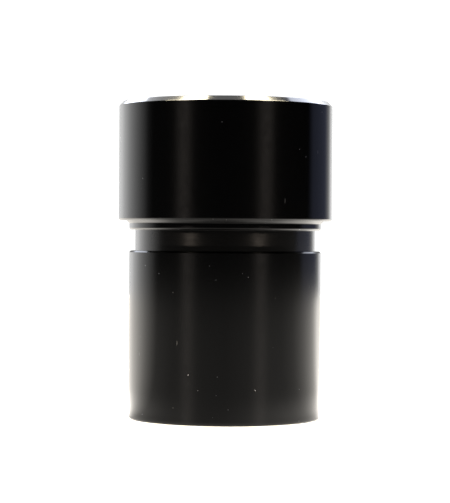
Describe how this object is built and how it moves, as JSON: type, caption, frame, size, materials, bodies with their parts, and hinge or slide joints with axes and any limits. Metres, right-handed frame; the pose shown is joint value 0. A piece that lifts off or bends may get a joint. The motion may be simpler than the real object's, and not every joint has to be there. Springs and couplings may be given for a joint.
{
  "type": "barlow lens",
  "caption": "Short black Barlow lens for small eyepieces: a socketed head with a thumbscrew on a push-fit nose with a safety undercut, and a lens cell that unscrews.",
  "frame": {"origin": "on the lens's axis at the end of the nose, so the part stands on z = 0", "axes": "+Z along the axis from the nose up to the eyepiece socket; +Y out through the thumbscrew"},
  "size_m": [0.0354, 0.043, 0.0523],
  "materials": {
    "black_anodised": "turned aluminium, black anodised, satin gloss",
    "matt_black": "matt black lining against stray light",
    "cell_black": "black anodised, satin",
    "washer_rubber": "matt",
    "coated_glass": "polished, anti-reflection coated",
    "knob_black": "knurled, black anodised",
    "screw_steel": "turned, threaded",
    "nylon_tip": "natural nylon"
  },
  "bodies": {
    "tube": {"head": "black_anodised", "barrel": "black_anodised", "lower_light_stop": "matt_black", "upper_light_stop": "matt_black"},
    "glass": {"crown_lens": "coated_glass", "lens_spacer": "matt_black", "flint_lens": "coated_glass", "lens_washer": "washer_rubber"},
    "cell": {"lens_cell": "cell_black", "lens_retaining_ring": "cell_black"},
    "screw_tip": {"thumbscrew_tip": "nylon_tip"},
    "thumbscrew": {"thumbscrew_knob": "knob_black", "thumbscrew_stud": "screw_steel"}
  },
  "joints": [
    {"name": "cell_travel", "type": "slide", "parent": "tube", "child": "glass", "axis": [0, 0, -1], "range_m": [0, 0.00405]},
    {"name": "cell_turn", "type": "hinge", "parent": "glass", "child": "cell", "pos_m": [0, 0, 0.011], "axis": [0, 0, -1], "range_deg": [0, 2430]},
    {"name": "screw_travel", "type": "slide", "parent": "tube", "child": "screw_tip", "axis": [0, 1, 0], "range_m": [-0.00105, 0.00105]},
    {"name": "screw_turn", "type": "hinge", "parent": "screw_tip", "child": "thumbscrew", "pos_m": [0, 0.02, 0.04345], "axis": [0, 1, 0], "range_deg": [-540, 540]}
  ],
  "couplings": [
    {"joint": "cell_turn", "follows": "cell_travel", "rad_per_m": 10472},
    {"joint": "screw_turn", "follows": "screw_travel", "rad_per_m": 8976}
  ]
}
